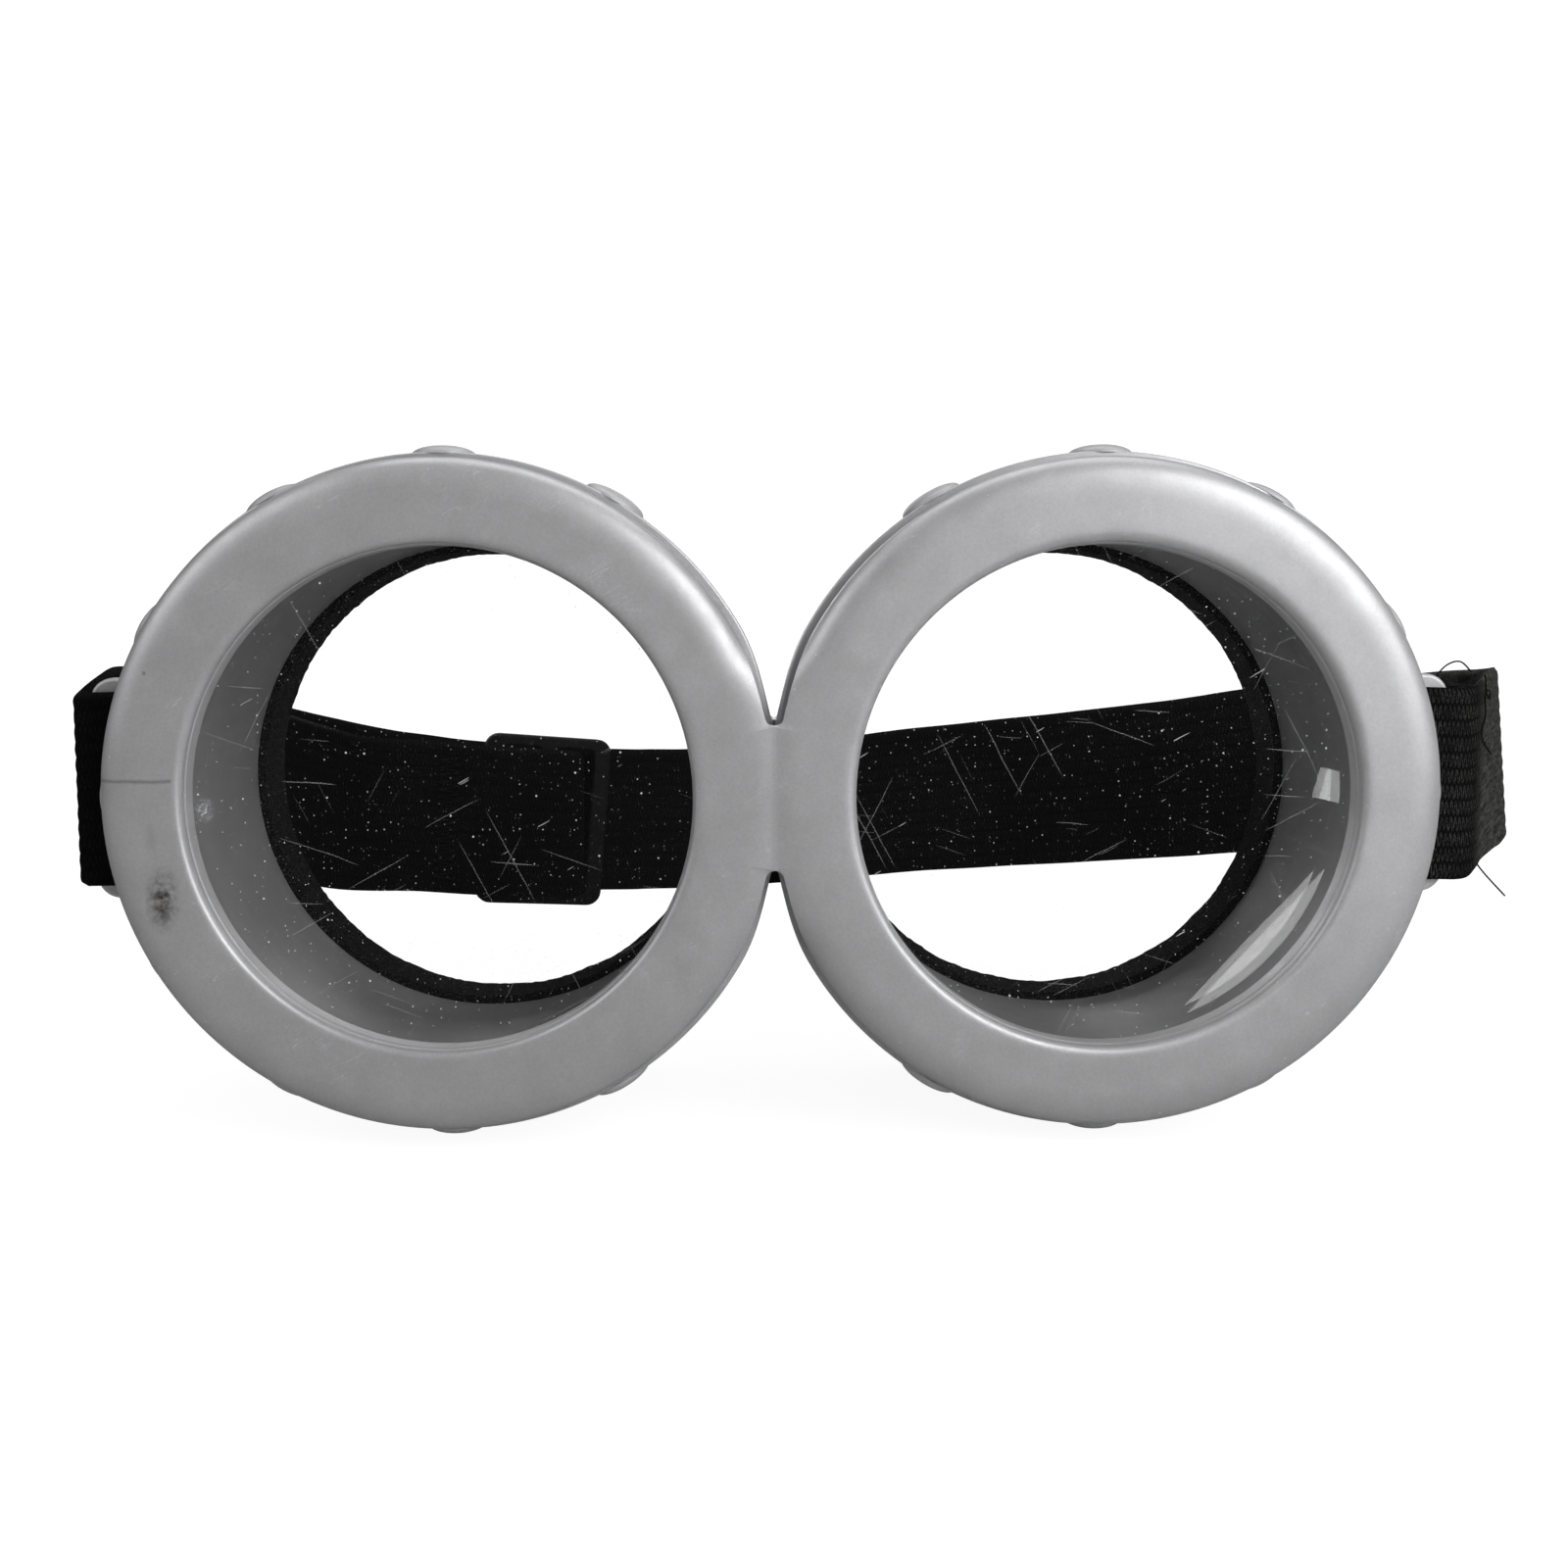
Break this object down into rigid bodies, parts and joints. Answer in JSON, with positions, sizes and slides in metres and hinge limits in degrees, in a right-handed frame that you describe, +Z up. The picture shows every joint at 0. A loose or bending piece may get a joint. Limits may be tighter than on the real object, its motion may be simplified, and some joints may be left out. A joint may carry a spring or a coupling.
{
  "type": "welding goggles",
  "caption": "Round twin-cup goggles with clear flat lenses, rounded grey rims joined at the nose, domed rivets, foam face seals and a black elastic strap with a slider.",
  "frame": {"origin": "bottom centre of the bounding box, on the surface under the lowest rivet heads", "axes": "+Z up as worn, the lenses face -Y, +X to the right as seen from the front"},
  "size_m": [0.1958, 0.0942, 0.084],
  "materials": {
    "ring_grey": "satin moulded plastic with a soft silvery sheen",
    "shell_grey": "satin moulded plastic",
    "rivet_grey": "satin dome heads",
    "lug_grey": "satin moulded plastic, slightly paler",
    "clear_lens": "clear plastic sheet, scratched and dusty",
    "snap_ring_grey": "matt moulded plastic",
    "black_foam": "open-textured black foam strip",
    "black_webbing": "ribbed knitted elastic",
    "black_thread": "polyester sewing thread",
    "black_plastic": "moulded black plastic"
  },
  "bodies": {
    "goggles": {"front_frame": "ring_grey", "back_shell": "shell_grey", "lens_left": "clear_lens", "lens_right": "clear_lens", "lens_snap_ring_left": "snap_ring_grey", "lens_snap_ring_right": "snap_ring_grey", "foam_seal_left": "black_foam", "foam_seal_right": "black_foam", "strap_lug_left": "lug_grey", "strap_lug_right": "lug_grey", "strap_loop_left": "black_webbing", "strap_loop_right": "black_webbing", "rivet_left_1": "rivet_grey", "rivet_left_2": "rivet_grey", "rivet_left_3": "rivet_grey", "rivet_left_4": "rivet_grey", "rivet_left_5": "rivet_grey", "rivet_left_6": "rivet_grey", "rivet_left_7": "rivet_grey", "rivet_left_8": "rivet_grey", "rivet_left_9": "rivet_grey", "rivet_right_1": "rivet_grey", "rivet_right_2": "rivet_grey", "rivet_right_3": "rivet_grey", "rivet_right_4": "rivet_grey", "rivet_right_5": "rivet_grey", "rivet_right_6": "rivet_grey", "rivet_right_7": "rivet_grey", "rivet_right_8": "rivet_grey", "rivet_right_9": "rivet_grey"},
    "strap": {"strap_band": "black_webbing", "strap_tail": "black_webbing", "strap_return": "black_webbing", "bar_tack_right": "black_thread"},
    "slider": {"slider_buckle": "black_plastic", "slider_loop": "black_webbing", "bar_tack_slider": "black_thread"}
  },
  "joints": [
    {"name": "strap_tilt", "type": "hinge", "parent": "goggles", "child": "strap", "pos_m": [-0.00849, -0.02758, 0.042], "axis": [1, 0, 0], "range_deg": [-14, 40]},
    {"name": "slider_slide", "type": "slide", "parent": "strap", "child": "slider", "axis": [-0.9332, -0.3482, 0.0895], "range_m": [-0.007, 0.007], "deforming": ["strap_return"]}
  ]
}
